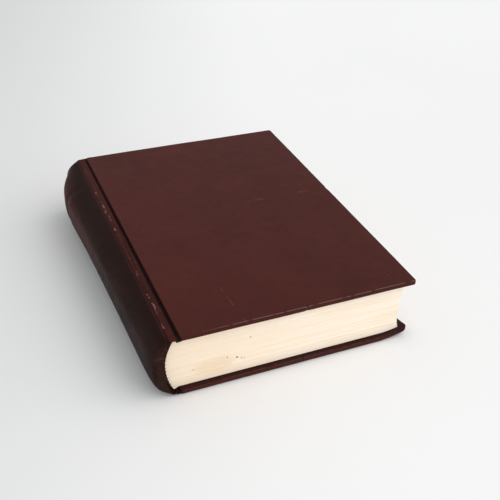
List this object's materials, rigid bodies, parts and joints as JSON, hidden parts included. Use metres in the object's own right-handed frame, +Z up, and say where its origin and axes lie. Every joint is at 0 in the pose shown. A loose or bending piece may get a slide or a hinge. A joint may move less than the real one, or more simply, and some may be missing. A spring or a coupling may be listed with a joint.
{
  "type": "prayer book",
  "caption": "Small leather-bound prayer book lying closed, with hinged covers, a rounded hollow spine and a sewn paper block whose leaves fan open.",
  "frame": {"origin": "middle of the closed book's footprint on the table, on the underside of the back cover", "axes": "+X from the spine to the fore edge, +Y from the tail to the head, +Z up through the front cover"},
  "size_m": [0.1418, 0.18, 0.0353],
  "materials": {
    "cover_leather": "smooth dark maroon leather, slightly rubbed",
    "spine_leather": "near-black brown leather, worn along the joint",
    "board": "grey binder's board",
    "filler": "filling paper between the turn-ins",
    "mull": "open cotton gauze",
    "tape": "woven linen tape",
    "thread": "waxed linen thread",
    "lining": "brown kraft paper",
    "endpaper": "plain cream endpaper",
    "book_paper": "thin cream book paper"
  },
  "bodies": {
    "back_cover": {"back_board": "board", "back_cover_leather": "cover_leather", "back_infill": "filler", "back_mull_flap": "mull", "back_tape_ends": "tape", "back_pastedown": "endpaper"},
    "text_block": {"section_01": "book_paper", "section_02": "book_paper", "section_03": "book_paper", "section_04": "book_paper", "section_05": "book_paper", "section_06": "book_paper", "section_07": "book_paper", "section_08": "book_paper", "section_09": "book_paper", "section_10": "book_paper", "section_11": "book_paper", "section_12": "book_paper", "front_leaf_folds": "book_paper", "back_leaf_folds": "book_paper", "sewing_tapes": "tape", "sewing_thread": "thread", "mull_spine": "mull", "spine_lining": "lining", "spine_inlay": "board", "spine_leather": "spine_leather", "front_joint_leather": "spine_leather", "back_joint_leather": "spine_leather"},
    "front_cover": {"front_board": "board", "front_cover_leather": "cover_leather", "front_infill": "filler", "front_mull_flap": "mull", "front_tape_ends": "tape", "front_pastedown": "endpaper"},
    "front_flyleaf": {"front_flyleaf": "endpaper"},
    "front_leaves_1": {"front_leaves_1": "book_paper"},
    "front_leaves_2": {"front_leaves_2": "book_paper"},
    "front_leaves_3": {"front_leaves_3": "book_paper"},
    "front_leaves_4": {"front_leaves_4": "book_paper"},
    "front_leaves_5": {"front_leaves_5": "book_paper"},
    "back_flyleaf": {"back_flyleaf": "endpaper"},
    "back_leaves_1": {"back_leaves_1": "book_paper"},
    "back_leaves_2": {"back_leaves_2": "book_paper"}
  },
  "joints": [
    {"name": "back_joint", "type": "hinge", "parent": "back_cover", "child": "text_block", "pos_m": [-0.0539, 0, 0], "axis": [0, 1, 0], "range_deg": [-35, 0]},
    {"name": "front_joint", "type": "hinge", "parent": "text_block", "child": "front_cover", "pos_m": [-0.0539, 0, 0.03533], "axis": [0, -1, 0], "range_deg": [0, 180]},
    {"name": "front_flyleaf_turn", "type": "hinge", "parent": "text_block", "child": "front_flyleaf", "pos_m": [-0.0539, 0, 0.03533], "axis": [0, -1, 0], "range_deg": [0, 172.01]},
    {"name": "front_leaves_1_turn", "type": "hinge", "parent": "text_block", "child": "front_leaves_1", "pos_m": [-0.0539, 0, 0.03533], "axis": [0, -1, 0], "range_deg": [0, 156.01]},
    {"name": "front_leaves_2_turn", "type": "hinge", "parent": "text_block", "child": "front_leaves_2", "pos_m": [-0.0539, 0, 0.03533], "axis": [0, -1, 0], "range_deg": [0, 133.99]},
    {"name": "front_leaves_3_turn", "type": "hinge", "parent": "text_block", "child": "front_leaves_3", "pos_m": [-0.0539, 0, 0.03533], "axis": [0, -1, 0], "range_deg": [0, 108]},
    {"name": "front_leaves_4_turn", "type": "hinge", "parent": "text_block", "child": "front_leaves_4", "pos_m": [-0.0539, 0, 0.03533], "axis": [0, -1, 0], "range_deg": [0, 78]},
    {"name": "front_leaves_5_turn", "type": "hinge", "parent": "text_block", "child": "front_leaves_5", "pos_m": [-0.0539, 0, 0.03533], "axis": [0, -1, 0], "range_deg": [0, 46.01]},
    {"name": "back_flyleaf_turn", "type": "hinge", "parent": "text_block", "child": "back_flyleaf", "pos_m": [-0.0539, 0, 0], "axis": [0, 1, 0], "range_deg": [0, 31.5]},
    {"name": "back_leaves_1_turn", "type": "hinge", "parent": "text_block", "child": "back_leaves_1", "pos_m": [-0.0539, 0, 0], "axis": [0, 1, 0], "range_deg": [0, 23.1]},
    {"name": "back_leaves_2_turn", "type": "hinge", "parent": "text_block", "child": "back_leaves_2", "pos_m": [-0.0539, 0, 0], "axis": [0, 1, 0], "range_deg": [0, 12.6]}
  ],
  "couplings": [
    {"joint": "front_flyleaf_turn", "follows": "front_joint", "ratio": 0.9556},
    {"joint": "front_leaves_1_turn", "follows": "front_joint", "ratio": 0.8667},
    {"joint": "front_leaves_2_turn", "follows": "front_joint", "ratio": 0.7444},
    {"joint": "front_leaves_3_turn", "follows": "front_joint", "ratio": 0.6},
    {"joint": "front_leaves_4_turn", "follows": "front_joint", "ratio": 0.4333},
    {"joint": "front_leaves_5_turn", "follows": "front_joint", "ratio": 0.2556},
    {"joint": "back_flyleaf_turn", "follows": "back_joint", "ratio": -0.9},
    {"joint": "back_leaves_1_turn", "follows": "back_joint", "ratio": -0.66},
    {"joint": "back_leaves_2_turn", "follows": "back_joint", "ratio": -0.36}
  ]
}
